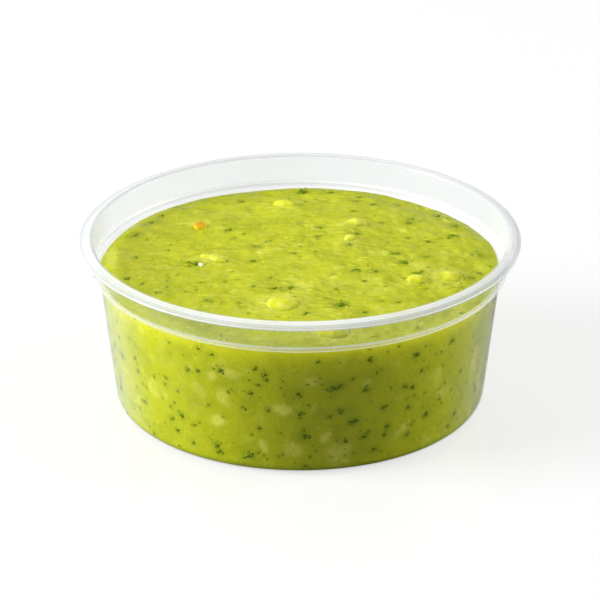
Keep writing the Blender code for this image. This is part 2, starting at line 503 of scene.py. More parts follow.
def moist_group():
    """Node group for moist food: uneven gloss and a faint soft surface, at a scale and strength."""
    group = bpy.data.node_groups.new("moist_surface", "ShaderNodeTree")
    face = group.interface
    defaults = (("Driest", 0.5), ("Wettest", 0.22), ("Patch Scale", 180.0), ("Grain Scale", 900.0))
    for name, default in defaults:
        face.new_socket(name, in_out="INPUT", socket_type="NodeSocketFloat").default_value = default
    face.new_socket("Roughness", in_out="OUTPUT", socket_type="NodeSocketFloat")
    face.new_socket("Height", in_out="OUTPUT", socket_type="NodeSocketFloat")
    inside = add(group, "NodeGroupInput")
    outside = add(group, "NodeGroupOutput")
    where = place_vector(group)
    patches = noise_value(group, where, inside.outputs["Patch Scale"], detail=3.0, rough=0.6, distortion=0.4)
    rough = add(group, "ShaderNodeMapRange", interpolation_type="SMOOTHSTEP")
    feed(group, rough, Value=patches, From_Min=0.36, From_Max=0.64)
    feed(group, rough, To_Min=inside.outputs["Wettest"], To_Max=inside.outputs["Driest"])
    grain = noise_value(group, where, inside.outputs["Grain Scale"], detail=2.0, rough=0.45)
    height = math_node(group, "ADD", math_node(group, "MULTIPLY", grain, 0.55), patches)
    feed(group, outside, Roughness=rough.outputs["Result"], Height=height)
    return group


def mottle_group():
    """Node group that varies a colour as mash does: deep and pale patches, streaks and specks."""
    group = bpy.data.node_groups.new("mash_mottle", "ShaderNodeTree")
    face = group.interface
    for name in ("Colour", "Deep", "Pale", "Speck"):
        face.new_socket(name, in_out="INPUT", socket_type="NodeSocketColor")
    for name, default in (("Patches", 0.6), ("Streaks", 0.4), ("Specks", 0.5)):
        face.new_socket(name, in_out="INPUT", socket_type="NodeSocketFloat").default_value = default
    face.new_socket("Colour", in_out="OUTPUT", socket_type="NodeSocketColor")
    inside = add(group, "NodeGroupInput")
    outside = add(group, "NodeGroupOutput")
    where = place_vector(group)
    broad = noise_value(group, where, 95.0, detail=3.0, rough=0.55, distortion=0.6)
    deep = math_node(group, "MULTIPLY", ranged(group, broad, 0.50, 0.30), inside.outputs["Patches"])
    tint = blended(group, deep, inside.outputs["Colour"], inside.outputs["Deep"])
    soft = noise_value(group, place_vector(group, turn=31.0), 240.0, detail=3.0, rough=0.6, distortion=0.3)
    pale = math_node(group, "MULTIPLY", ranged(group, soft, 0.58, 0.80), inside.outputs["Patches"])
    tint = blended(group, pale, tint, inside.outputs["Pale"])
    drawn = place_vector(group, stretch=(0.2, 1.0, 1.0), turn=7.0)
    streak = noise_value(group, drawn, 900.0, detail=2.0, rough=0.5, distortion=0.2)
    streak = math_node(group, "MULTIPLY", ranged(group, streak, 0.60, 0.80), inside.outputs["Streaks"])
    tint = blended(group, streak, tint, inside.outputs["Pale"])
    drawn = place_vector(group, stretch=(0.22, 1.0, 1.0), turn=-5.0)
    shaded = noise_value(group, drawn, 760.0, detail=2.0, rough=0.5)
    shaded = math_node(group, "MULTIPLY", ranged(group, shaded, 0.36, 0.20), inside.outputs["Streaks"])
    tint = blended(group, shaded, tint, inside.outputs["Deep"])
    cells = add(group, "ShaderNodeTexVoronoi", feature="F1")
    feed(group, cells, Vector=where, Scale=620.0, Randomness=1.0)
    thin = noise_value(group, where, 300.0, detail=1.0)
    round_dots = ranged(group, cells.outputs["Distance"], 0.27, 0.12)
    dots = math_node(group, "MULTIPLY", round_dots, ranged(group, thin, 0.50, 0.60))
    dots = math_node(group, "MULTIPLY", dots, inside.outputs["Specks"])
    tint = blended(group, dots, tint, inside.outputs["Speck"])
    feed(group, outside, Colour=tint)
    return group


RELIEF_DEPTH = 0.4 * MM
GLOW_DEPTH = 2.0 * MM  # how far light travels inside the food


class Finishes:
    """The materials, made once and shared by the operators."""

    def __init__(self, colours):
        self.colours = colours
        self.moist = moist_group()
        self.mottle = mottle_group()
        self.made = {}

    def get(self, name):
        """The named material."""
        if name not in self.made:
            self.made[name] = getattr(self, name)()
        return self.made[name]

    def food(
        self, name, base, driest, wettest, bump, patches=0.6, streaks=0.3, specks=0.4, shine=0.3, glow=None
    ):
        """A moist food material; base gives its colour before mottling, glow any painted glow, emitted to
        stand in for light let through.
        """
        material, tree = new_material(name)
        c = self.colours
        colour_in = base(tree)
        mottle = add(tree, "ShaderNodeGroup", node_tree=self.mottle)
        feed(tree, mottle, Colour=colour_in, Deep=c.paste_deep, Pale=c.paste_pale, Speck=c.leaf)
        if callable(streaks):
            streaks = streaks(tree)
        feed(tree, mottle, Patches=patches, Streaks=streaks, Specks=specks)
        moist = add(tree, "ShaderNodeGroup", node_tree=self.moist)
        feed(tree, moist, Driest=driest, Wettest=wettest)
        relief = add(tree, "ShaderNodeBump")
        feed(tree, relief, Strength=bump, Distance=RELIEF_DEPTH, Height=moist.outputs["Height"])
        shader = add(tree, "ShaderNodeBsdfPrincipled")
        feed(tree, shader, Base_Color=mottle.outputs["Colour"], Roughness=moist.outputs["Roughness"])
        feed(tree, shader, Normal=relief.outputs["Normal"], IOR=1.34, Subsurface_Weight=0.15)
        feed(tree, shader, Subsurface_Radius=(1.0, 0.9, 0.25), Subsurface_Scale=GLOW_DEPTH)
        feed(tree, shader, Specular_IOR_Level=shine)
        if glow:
            feed(tree, shader, Emission_Color=glow(tree), Emission_Strength=1.0)
        out = add(tree, "ShaderNodeOutputMaterial")
        feed(tree, out, Surface=shader.outputs["BSDF"])
        return material

    def paste(self):
        """Mashed avocado, with soft pale and green places painted on the mesh, and a painted glow on the
        side just under the fill line.
        """
        c = self.colours

        def base(tree):
            tint = blended(tree, attribute(tree, "glow"), c.paste, c.paste_painted_glow)
            tint = blended(tree, attribute(tree, "pale"), tint, c.flesh_pale)
            return blended(tree, attribute(tree, "green"), tint, c.leaf_soft)

        def on_top(tree):
            return attribute(tree, "upper")

        # Painted glow: emission along the side just under the fill line, standing in for light let through
        # the mash
        def glow(tree):
            return blended(tree, attribute(tree, "glow"), (0.0, 0.0, 0.0), (0.25, 0.265, 0.001))

        return self.food(
            "guacamole_paste", base, 0.46, 0.16, 0.5, streaks=on_top, specks=0.45, shine=0.42, glow=glow
        )

    def flesh(self):
        """Pieces of avocado: bright inside, creamy at the edge, paste where they sink in."""
        c = self.colours

        def base(tree):
            cloud = noise_value(tree, place_vector(tree), 320.0)
            tint = blended(tree, ranged(tree, cloud, 0.42, 0.62), c.flesh, c.flesh_pale)
            return blended(tree, attribute(tree, "shade"), tint, c.paste)

        return self.food("avocado_flesh", base, 0.45, 0.22, 0.25, patches=0.15, streaks=0.1, specks=0.1)

    def leaf(self):
        """Chopped coriander: dark green, lighter where a film of paste covers it."""
        c = self.colours
        return self.food(
            "coriander_leaf",
            lambda tree: blended(tree, attribute(tree, "shade"), c.leaf, c.leaf_soft),
            0.5, 0.25, 0.3, patches=0.1, streaks=0.0, specks=0.0, shine=0.12,
        )

    def tomato(self):
        """Tomato: orange-red skin, yellow flesh round it, paste where it sinks in."""
        c = self.colours

        def base(tree):
            tint = blended(tree, attribute(tree, "shade"), c.tomato, c.tomato_flesh)
            return blended(tree, attribute(tree, "cover"), tint, c.paste_pale)

        return self.food("tomato", base, 0.35, 0.15, 0.2, patches=0.1, streaks=0.0, specks=0.0)

    def onion(self):
        """Onion: white, with paste where it sinks in."""
        c = self.colours

        def base(tree):
            return blended(tree, attribute(tree, "cover"), c.onion, c.paste_pale)

        return self.food("onion", base, 0.35, 0.15, 0.15, patches=0.1, streaks=0.0, specks=0.0)

    def plastic(self):
        """Clear polypropylene: see-through, with a haze that thickens in the lip, at creases and edge-on,
        partly as painted highlight and reflection, and with painted highlights glowing along the moulded
        edges.
        """
        material, tree = new_material("clear_plastic")
        c = self.colours
        where = add(tree, "ShaderNodeTexCoord").outputs["Object"]
        parts = feed(tree, add(tree, "ShaderNodeSeparateXYZ"), Vector=where)
        flat = add(tree, "ShaderNodeCombineXYZ")
        feed(tree, flat, X=parts.outputs["X"], Y=parts.outputs["Y"])
        radius = add(tree, "ShaderNodeVectorMath", operation="LENGTH")
        tree.links.new(flat.outputs[0], radius.inputs[0])
        outward = ranged(tree, radius.outputs["Value"], 55.2 * MM, 55.4 * MM)
        on_lip = math_node(tree, "MAXIMUM", outward, ranged(tree, parts.outputs["Z"], 46.2 * MM, 46.4 * MM))
        # Haze bands: milkiness, with painted highlight at the creases and painted reflection across the lip
        bands = add(tree, "ShaderNodeMix", data_type="FLOAT")
        wall = banded(tree, parts.outputs["Z"], WALL_HAZE_AND_PAINTED_HIGHLIGHT)
        feed(tree, bands, Factor=on_lip, A=wall, B=banded(tree, radius.outputs["Value"], LIP_HAZE_AND_PAINTED_REFLECTION))
        # Painted highlight: emission along the moulded edges, with a faint painted glow added over all the
        # haze
        wall = banded(tree, parts.outputs["Z"], WALL_PAINTED_HIGHLIGHT)
        edge = blended(tree, on_lip, wall, banded(tree, radius.outputs["Value"], LIP_PAINTED_HIGHLIGHT))
        edge = blended(tree, 1.0, edge, (0.05, 0.05, 0.05), "ADD")
        cloud = ranged(tree, noise_value(tree, place_vector(tree), 60.0, detail=2.0), 0.3, 0.7, 0.85, 1.15)
        facing = add(tree, "ShaderNodeLayerWeight")
        feed(tree, facing, Blend=0.5)
        # Edge-on haze: partly the plastic's own milkiness, partly a painted reflection of the white
        # surroundings
        aslant_haze_and_painted_reflection = ranged(tree, facing.outputs["Facing"], 0.45, 1.0, 0.0, 0.5)
        aslant_haze_and_painted_reflection = math_node(tree, "MULTIPLY", aslant_haze_and_painted_reflection, ranged(tree, parts.outputs["Z"], 0.5 * MM, 5.0 * MM))
        haze = math_node(tree, "MAXIMUM", math_node(tree, "MULTIPLY", bands.outputs[0], cloud), aslant_haze_and_painted_reflection)
        rim = math_node(tree, "POWER", facing.outputs["Facing"], 5.0)
        mirror = math_node(tree, "ADD", math_node(tree, "MULTIPLY", rim, 0.05), 0.007)
        clear = feed(tree, add(tree, "ShaderNodeBsdfTransparent"), Color=c.plastic_tint)
        milk_and_painted_glow = feed(tree, add(tree, "ShaderNodeBsdfPrincipled"), Base_Color=c.plastic, Roughness=0.3)
        feed(tree, milk_and_painted_glow, Emission_Color=edge, Emission_Strength=1.0)
        sheen = feed(tree, add(tree, "ShaderNodeBsdfGlossy"), Color=(1.0, 1.0, 1.0), Roughness=0.09)
        surface_shader = clear.outputs[0]
        for factor, shader in ((haze, milk_and_painted_glow), (mirror, sheen)):
            mix = feed(tree, add(tree, "ShaderNodeMixShader"), Fac=factor)
            tree.links.new(surface_shader, mix.inputs[1])
            tree.links.new(shader.outputs[0], mix.inputs[2])
            surface_shader = mix.outputs[0]
        feed(tree, add(tree, "ShaderNodeOutputMaterial"), Surface=surface_shader)
        return material


FINISHES = {}


def finish(name):
    """A material by name, from the scene's colours."""
    if "all" not in FINISHES:
        FINISHES["all"] = Finishes(bpy.context.scene.guac_colours)
    return FINISHES["all"].get(name)


def surface():
    """The paste's surface, from the scene's sizes."""
    scene = bpy.context.scene
    return Surface(scene.guac_tub, scene.guac_paste)


# ---------------------------------------------------------------- tub


def rounded(corners):
    """Points along a profile of (radius, height, fillet, arc segments) corners, each fillet an arc."""
    points = []
    for i, (r, z, fillet, segments) in enumerate(corners):
        here = Vector((r, z))
        if not fillet or i in (0, len(corners) - 1):
            points.append(here)
            continue
        back = (Vector(corners[i - 1][:2]) - here).normalized()
        ahead = (Vector(corners[i + 1][:2]) - here).normalized()
        half = back.angle(ahead) / 2
        centre = here + (back + ahead).normalized() * fillet / math.sin(half)
        first = (here + back * fillet / math.tan(half) - centre).normalized()
        last = (here + ahead * fillet / math.tan(half) - centre).normalized()
        for step in range(segments + 1):
            points.append(centre + fillet * first.slerp(last, step / segments))
    return points


class GUACAMOLE_OT_tub(bpy.types.Operator):
    """Turn the clear tub from its outer skin and thicken it inwards"""

    bl_idname = "guacamole.tub"
    bl_label = "Clear tub"

    def execute(self, context):
        t = context.scene.guac_tub
        crest = t.height - t.wall + 0.1 * MM
        corners = (
            (t.lip_radius - 0.22 * MM, t.lip_height, 0, 0),
            (t.lip_radius - 1.0 * MM, t.lip_height + 0.20 * MM, 0.5 * MM, 3),
            (t.lip_radius - 1.6 * MM, t.lip_height + 0.60 * MM, 0.4 * MM, 3),
            (t.lip_radius - 2.2 * MM, t.lip_height + 0.72 * MM, 0.5 * MM, 3),
            (t.collar_radius, crest, 0.4 * MM, 6),
            (t.collar_radius, t.bead_height, 0.9 * MM, 3),
            (t.collar_radius - t.bead_depth, t.bead_height - 0.4 * MM, 0.25 * MM, 3),
            (t.collar_radius - t.bead_depth, t.step_height, 0.72 * MM, 5),
            (t.body_radius, t.step_height - 0.25 * MM, 0.35 * MM, 4),
            (t.base_radius, 0.0, t.base_corner, 10),
            (0.0, 0.0, 0, 0),
        )
        points = rounded(corners)
        mesh = bpy.data.meshes.new("clear_tub")
        edges = [(i, i + 1) for i in range(len(points) - 1)]
        mesh.from_pydata([(p.x, 0.0, p.y) for p in points], edges, [])
        tub = new_piece("clear_tub", mesh, finish("plastic"), "tub", slot="clear_plastic")
        screw = tub.modifiers.new("Turn", "SCREW")
        screw.steps = t.turns
        screw.render_steps = t.turns
        screw.use_merge_vertices = True
        screw.merge_threshold = 0.00001
        screw.use_smooth_shade = True
        shell = tub.modifiers.new("Wall", "SOLIDIFY")
        shell.thickness = t.wall
        shell.offset = -1.0
        shell.use_even_offset = True
        return {"FINISHED"}


# ---------------------------------------------------------------- paste

SIDE_ROWS = 75
CORNER_ROWS = 8

# Soft pale places on the top: x, y in millimetres, half length, half width, turn, strength
PALE_TOP = (
    (-9.7, 4.0, 2.0, 1.6, 10, 0.9), (-22.1, 4.4, 3.6, 1.6, 0, 0.35), (0.2, -18.6, 3.2, 4.6, 10, 0.6),
    (20.4, 3.3, 3.6, 1.5, -20, 0.9), (31.6, -5.1, 2.4, 2.6, 15, 0.7), (18.9, -14.9, 2.2, 2.4, -10, 0.6),
    (39.4, -11.3, 3.6, 4.6, 10, 0.3), (15.5, -2.4, 0.8, 1.2, 0, 0.9), (1.6, 41.1, 3.4, 1.6, -20, 0.7),
    (26.4, 34.0, 1.0, 1.2, 0, 0.9), (-0.3, 8.0, 1.4, 1.6, 0, 0.6), (8.5, -12.9, 1.2, 1.2, 0, 0.6),
    (24.8, -18.0, 1.0, 1.6, 0, 0.6), (-26.6, 24.5, 3.2, 3.4, 0, 0.45), (-46.5, 3.0, 2.6, 4.0, 15, 0.35),
    (-50.0, 3.0, 1.8, 8.0, 6, 0.9), (-10.5, -29.5, 3.4, 4.4, 0, 0.5), (-25.2, -2.0, 3.6, 2.2, -20, 0.5),
    (-18.0, 30.0, 6.0, 2.0, 10, 0.3),
)

# Soft pale places on the side: degrees, height in millimetres, half width, half height, lean, strength
PALE_WALL = (
    (-25.6, 27.3, 1.4, 1.2, 0, 0.7), (-19.9, 29.0, 2.2, 1.2, 0, 0.7), (-22.9, 21.6, 1.4, 2.4, 20, 0.5),
    (-24.8, 13.9, 1.9, 1.6, 10, 0.8), (-10.7, 8.2, 0.8, 2.0, 15, 0.9), (-5.1, 19.6, 2.8, 1.5, 0, 0.7),
    (-30.6, 21.9, 1.6, 1.8, 0, 0.4), (-48.4, 17.6, 2.0, 2.6, 0, 0.4), (3.0, 28.0, 1.7, 1.2, 0, 0.75),
    (7.7, 11.4, 1.0, 2.2, -35, 0.8), (11.6, 6.9, 2.8, 2.6, 0, 0.9), (13.4, 4.1, 1.2, 1.2, 0, 1.0),
    (43.9, 22.4, 1.4, 2.6, 0, 0.35), (45.6, 16.9, 1.0, 1.2, 0, 0.8), (31.7, 9.8, 0.9, 2.6, -50, 0.6),
    (62.7, 21.6, 1.8, 6.0, 0, 0.5), (19.5, 26.5, 1.1, 1.8, -40, 0.5), (-2.2, 7.8, 2.2, 1.8, 0, 0.5),
    (70.0, 12.0, 2.2, 3.2, 0, 0.4), (120.0, 20.0, 2.6, 2.2, 0, 0.8), (165.0, 11.0, 2.2, 1.8, 0, 0.8),
    (-150.0, 24.0, 2.8, 2.0, 0, 0.8), (-110.0, 9.0, 2.0, 2.4, 0, 0.8), (-80.0, 26.0, 1.6, 1.6, 0, 0.5),
)


def oval_reach(dx, dy, long, wide, turn):
    """How far an offset lies from an oval's centre: 1 on its edge. Half sizes are in millimetres."""
    c, s = math.cos(math.radians(turn)), math.sin(math.radians(turn))
    return np.hypot((dx * c + dy * s) / (long * MM), (dy * c - dx * s) / (wide * MM))


class GUACAMOLE_OT_paste(bpy.types.Operator):
    """Shape the mashed avocado up to the tub's wall, with its uneven spooned top"""

    bl_idname = "guacamole.paste"
    bl_label = "Guacamole"

    def execute(self, context):
        form = surface()
        p = context.scene.guac_paste
        t = context.scene.guac_tub
        around = np.arange(p.segments) / p.segments * 2 * math.pi
        cosine, sine = np.cos(around), np.sin(around)
        rows = []
        reach = form.edge * (1 - (1 - np.arange(1, p.rings + 1) / p.rings) ** 1.15)
        for r in reach:
            x, y = r * cosine, r * sine
            rows.append((x, y, form.top(x, y)))
        foot = 0.5 * t.wall
        corner = t.base_corner - foot
        crept = form.wall_line(form.edge * cosine, form.edge * sine)
        for down in np.linspace(0.0, 1.0, SIDE_ROWS + 1)[1:]:
            z = p.fill * (1 - down) + (foot + corner) * down + crept * (1 - down)
            r = form.wall_radius(z)
            rows.append((r * cosine, r * sine, z))
        centre = form.wall_radius(foot + corner) - corner
        for step in range(1, CORNER_ROWS + 1):
            bend = step / CORNER_ROWS * math.pi / 2
            r = centre + corner * math.cos(bend)
            z = np.full(p.segments, foot + corner - corner * math.sin(bend))
            rows.append((r * cosine, r * sine, z))
        for part in (0.66, 0.33):
            rows.append((centre * part * cosine, centre * part * sine, np.full(p.segments, foot)))
        rings = len(rows)
        points = np.concatenate([np.stack(row, axis=1) for row in rows])
        apex = form.level(0.0, 0.0)
        points = np.vstack([points, (0.0, 0.0, apex), (0.0, 0.0, foot)])
        first, last = len(points) - 2, len(points) - 1
        here = np.arange(p.segments)
        ahead = (here + 1) % p.segments
        faces = [(first, int(a), int(b)) for a, b in zip(here, ahead)]
        for ring in range(rings - 1):
            top, low = ring * p.segments, (ring + 1) * p.segments
            quads = np.stack([top + here, low + here, low + ahead, top + ahead], axis=1)
            faces.extend(map(tuple, quads.tolist()))
        end = (rings - 1) * p.segments
        faces.extend((last, int(end + b), int(end + a)) for a, b in zip(here, ahead))
        layers = dict(zip(("pale", "green", "glow", "upper"), self.tints(points, form, p)))
        mesh = make_mesh("guacamole_paste", points.tolist(), faces, **layers)
        new_piece("guacamole_paste", mesh, finish("paste"), "guacamole", slot="guacamole")
        return {"FINISHED"}

    def tints(self, points, form, p):
        """How pale, how green, how much painted glow and how much on the top each point is."""
        x, y, z = points.T
        radius = np.hypot(x, y)
        upper = np.clip((z - p.fill + 0.9 * MM) / (0.6 * MM), 0.0, 1.0) * (radius < form.edge - 0.1 * MM)
        around = np.degrees(np.arctan2(x, -y))
        across = np.where(upper > 0.5, x, np.radians(around) * form.edge)
        upward = np.where(upper > 0.5, y, z)
        spots = soft_noise(across, upward, 3.4 * MM, 31) + 0.5 * soft_noise(across, upward, 1.9 * MM, 32)
        pale = 0.4 * np.clip((spots - 0.72) / 0.35, 0.0, 1.0)
        ragged = 0.35 * soft_noise(across, upward, 1.4 * MM, 35)
        for px, py, long, wide, turn, strength in PALE_TOP:
            away = oval_reach(x - px * MM, y - py * MM, long, wide, turn) + ragged
            pale = np.maximum(pale, upper * strength * np.clip((1.45 - away) / 0.9, 0.0, 1.0))
        for centre, half in form.mounds:
            along, aside = (x - centre.x) / (1.35 * half.x), (y - centre.y) / (1.35 * half.y)
            away = np.hypot(along, aside) + ragged
            pale = np.maximum(pale, upper * 0.7 * np.clip((1.15 - away) / 0.5, 0.0, 1.0))
        for degrees, height, wide, tall, lean, strength in PALE_WALL:
            across_wall = np.radians(around - degrees) * radius
            away = oval_reach(across_wall, z - height * MM, wide, tall, lean) + ragged
            strength = min(1.0, 1.4 * strength)
            pale = np.maximum(pale, (1 - upper) * strength * np.clip((1.45 - away) / 0.7, 0.0, 1.0))
        bruise = soft_noise(across, upward, 6.5 * MM, 33) + 0.5 * soft_noise(across, upward, 3.1 * MM, 34)
        green = 0.28 * np.clip((bruise - 0.35) / 0.6, 0.0, 1.0)
        for lx, ly, size in leaf_places(form):
            near = ((x - lx) ** 2 + (1.2 * (y - ly)) ** 2) / (0.7 * size) ** 2
            green = np.maximum(green, upper * 0.85 * np.exp(-near))
        for degrees, height, size in wall_leaf_places():
            turned = (around - degrees + 180.0) % 360.0 - 180.0
            near = ((np.radians(turned) * radius) ** 2 + (z - height) ** 2) / (0.7 * size) ** 2
            green = np.maximum(green, (1 - upper) * 0.7 * np.exp(-near))
        # Painted glow: strongest on the side just under the fill line, and more so towards the front
        front = np.exp(-(((around - 8.0) / 38.0) ** 2))
        glow = (1 - upper) * np.exp(np.minimum(z - p.fill, 0.0) / (2.6 * MM)) * (0.75 + 0.25 * front)
        return pale * (1 - 0.3 * upper), green, glow, upper


# ---------------------------------------------------------------- larger pieces


def cad_shape(name):
    """A working copy of a node's mesh as a bmesh with its seams closed."""
    shape = bmesh.new()
    shape.from_mesh(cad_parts[name].data)
    bmesh.ops.remove_doubles(shape, verts=shape.verts, dist=1e-6)
    return shape


def refined(name, levels, lumps, cell, seed):
    """Points and faces of a node's shape, subdivided and made uneven by lumps of a height and size."""
    shape = cad_shape(name)
    for _ in range(levels):
        bmesh.ops.subdivide_edges(shape, edges=shape.edges, cuts=1, use_grid_fill=True, smooth=0.0)
    for _ in range(3):
        bmesh.ops.smooth_vert(
            shape, verts=shape.verts, factor=0.5, use_axis_x=True, use_axis_y=True, use_axis_z=True
        )
    shape.normal_update()
    moved = []
    for v in shape.verts:
        spot = v.co / cell + Vector((seed, 2 * seed, 3 * seed))
        moved.append(v.co + v.normal * lumps * (noise.noise(spot) + 0.5 * noise.noise(spot * 2.3)))
    shape.verts.index_update()
    faces = [tuple(v.index for v in f.verts) for f in shape.faces]
    shape.free()
    return moved, faces


class GUACAMOLE_OT_chunks(bpy.types.Operator):
    """Make the larger pieces of avocado from their solids, softened and uneven"""

    bl_idname = "guacamole.chunks"
    bl_label = "Avocado chunks"

    def execute(self, context):
        form = surface()
        points, faces, cover = [], [], []
        for seed, name in enumerate(CHUNK_NODES):
            moved, quads = refined(name, 2, 0.3 * MM, 3.4 * MM, seed + 1)
            start = len(points)
            points.extend(moved)
            faces.extend(tuple(start + i for i in f) for f in quads)
            for co in moved:
                proud = co.z - form.level(co.x, co.y)
                cover.append(min(max(0.9 - proud / (0.7 * MM), 0.0), 1.0))
        mesh = make_mesh("avocado_chunks", [tuple(p) for p in points], faces, shade=cover)
        new_piece("avocado_chunks", mesh, finish("flesh"), *CHUNK_NODES, slot="avocado_flesh")
        return {"FINISHED"}


class GUACAMOLE_OT_bits(bpy.types.Operator):
    """Make the bit of tomato and the bit of onion"""

    bl_idname = "guacamole.bits"
    bl_label = "Tomato and onion"

    def execute(self, context):
        form = surface()
        self.bit(form, "tomato", "tomato_piece", 41, Vector((-0.25, -0.15, 0.55)), 1.0, 0.0)
        self.bit(form, "onion", "onion_piece", 42, Vector((0.0, 0.0, 0.9)), 0.6, -42.0)
        return {"FINISHED"}

    def bit(self, form, name, node, seed, core, squeeze, turn):
        """One bit: squeezed across a direction, with its strongest colour about a core."""
        moved, faces = refined(node, 2, 0.3 * MM, 1.5 * MM, seed)
        low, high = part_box(node)
        middle, half = (low + high) / 2, (high - low) / 2
        centre = Vector((core.x * half.x, core.y * half.y, core.z * half.z)) + middle
        across = Vector((-math.sin(math.radians(turn)), math.cos(math.radians(turn)), 0.0))
        shade, cover = [], []
        for index, co in enumerate(moved):
            co = co - across * (co - middle).dot(across) * (1 - squeeze) - Vector((0.0, 0.0, 0.1 * MM))
            moved[index] = co
            shade.append(min(max((co - centre).length / half.x * 2.6 - 0.45, 0.0), 1.0))
            proud = co.z - form.level(co.x, co.y)
            cover.append(min(max(1.0 - proud / (0.35 * MM), 0.0), 1.0))
        mesh = make_mesh(name + "_bit", [tuple(co) for co in moved], faces, shade=shade, cover=cover)
        new_piece(name + "_bit", mesh, finish(name), node, slot=name)


# ---------------------------------------------------------------- leaf and pulp

# Larger scraps of leaf on the top: x, y in millimetres and size
LEAF_TOP = (
    (-16.1, 39.9, 2.6), (-45.0, 17.3, 3.6), (-40.4, 25.6, 2.4), (-37.7, 31.2, 1.8), (-11.6, 7.6, 2.6),
    (-19.2, 19.6, 2.2), (-15.0, 16.6, 1.4), (-35.8, 0.7, 1.2), (-43.6, 1.0, 1.6), (-12.3, -2.1, 2.2),
    (-1.8, 2.3, 1.6), (-28.2, -4.6, 3.8), (-45.5, -10.8, 1.8), (-41.3, -14.9, 1.6), (-37.2, -20.8, 1.2),
    (-23.9, -27.0, 2.8), (-15.9, -28.8, 1.4), (-7.3, -19.5, 3.6), (-2.6, -19.0, 2.6), (-25.6, -15.5, 1.6),
    (-16.5, -13.4, 1.4), (-12.1, -17.5, 1.6), (-7.8, -12.4, 1.4), (0.8, 48.4, 3.8), (8.2, 47.4, 2.8),
    (16.3, 43.1, 1.6), (20.0, 37.1, 2.2), (14.7, 31.6, 1.6), (30.5, 28.0, 2.2), (30.0, 25.1, 2.6),
    (37.2, 31.0, 2.6), (22.1, 24.1, 1.6), (41.5, 24.0, 3.2), (40.9, 16.3, 3.0), (29.1, 15.7, 1.4),
    (5.5, 20.2, 2.2), (4.7, 14.3, 1.8), (15.4, 16.2, 2.4), (13.0, 8.2, 2.2), (25.3, 3.0, 2.6),
    (33.0, 1.0, 2.2), (27.2, -2.9, 2.2), (34.5, 12.5, 1.8), (48.0, 3.8, 3.2), (31.0, -10.5, 3.0),
    (14.2, -9.3, 2.8), (19.4, -9.7, 2.2), (4.2, 2.8, 1.2), (16.9, -15.9, 1.4), (21.0, -27.3, 1.8),
    (10.4, -29.4, 4.0), (6.8, -25.4, 1.8), (25.4, -28.0, 1.6), (16.6, -34.1, 2.2), (1.7, -34.4, 2.2),
    (44.6, -11.0, 2.2), (47.4, -7.0, 1.8), (9.7, -18.5, 2.2),
)

# Larger scraps against the wall: degrees round from the front to the right, height in millimetres and size
LEAF_WALL = (
    (-29.7, 34.6, 1.6), (-25.3, 33.9, 1.5), (-56.6, 23.7, 1.4), (-56.0, 20.0, 1.4), (-33.9, 27.3, 1.8),
    (-30.3, 27.8, 1.6), (-23.0, 29.7, 2.4), (-12.6, 31.4, 1.6), (-9.9, 29.9, 1.8), (-47.8, 21.2, 1.0),
    (-42.3, 22.5, 1.3), (-43.1, 20.6, 1.2), (-38.3, 19.9, 1.2), (-12.0, 26.6, 1.3), (-9.6, 28.5, 1.5),
    (-14.1, 23.9, 1.8), (-16.0, 18.9, 1.5), (-37.6, 12.7, 2.2), (-41.7, 10.5, 1.8), (-33.1, 11.0, 1.2),
    (-39.9, 7.5, 1.7), (-53.8, 11.6, 1.6), (-61.8, 6.7, 1.0), (-27.6, 18.3, 1.4), (-25.8, 6.5, 2.0),
    (-25.0, 4.9, 2.0), (-34.0, 5.5, 1.5), (-9.2, 19.3, 1.4), (-12.2, 13.6, 1.5), (-15.6, 5.2, 3.0),
    (-5.3, 26.2, 0.9), (-0.7, 24.5, 2.4), (-0.1, 18.4, 2.4), (-51.2, 3.2, 1.2), (-41.7, 14.3, 1.1),
    (-20.9, 23.4, 1.0), (20.0, 33.1, 2.0), (9.4, 26.0, 3.0), (11.4, 26.3, 2.2), (19.0, 24.5, 2.2),
    (15.1, 28.0, 1.2), (5.1, 33.8, 1.2), (28.6, 35.6, 1.0), (34.8, 31.7, 2.4), (48.6, 31.7, 2.0),
    (37.2, 26.1, 1.5), (31.9, 22.8, 2.0), (34.4, 22.2, 1.8), (25.3, 18.0, 2.4), (33.5, 16.1, 1.6),
    (40.8, 12.3, 2.4), (12.0, 18.7, 2.2), (15.0, 15.4, 2.2), (16.3, 15.2, 2.2), (2.3, 20.9, 1.0),
    (8.6, 17.3, 1.2), (19.6, 10.3, 2.0), (25.9, 9.8, 1.6), (22.6, 5.8, 2.0), (33.9, 8.0, 1.8),
    (26.7, 12.2, 1.8), (54.5, 8.0, 2.2), (51.4, 5.3, 1.4), (55.0, 20.4, 1.3), (1.1, 11.9, 2.8),
    (1.5, 2.7, 1.8), (13.6, 9.6, 1.8), (20.8, 11.6, 1.2), (22.4, 29.0, 1.0), (1.1, 13.8, 1.4),
)


TOP_CRUMBS = 150
BACK_SCRAPS = 190
WALL_CRUMBS = 360
PULP_BITS = 620


def leaf_places(form):
    """Every scrap on the top: x, y and size in metres, with small ones scattered between the larger."""
    rng = np.random.default_rng(5)
    places = [(x * MM, y * MM, size * MM) for x, y, size in LEAF_TOP]
    for _ in range(TOP_CRUMBS):
        r = (form.edge - 1.0 * MM) * math.sqrt(rng.random())
        turn = rng.uniform(0, 2 * math.pi)
        places.append((r * math.cos(turn), r * math.sin(turn), rng.uniform(0.4, 1.1) * MM))
    return places


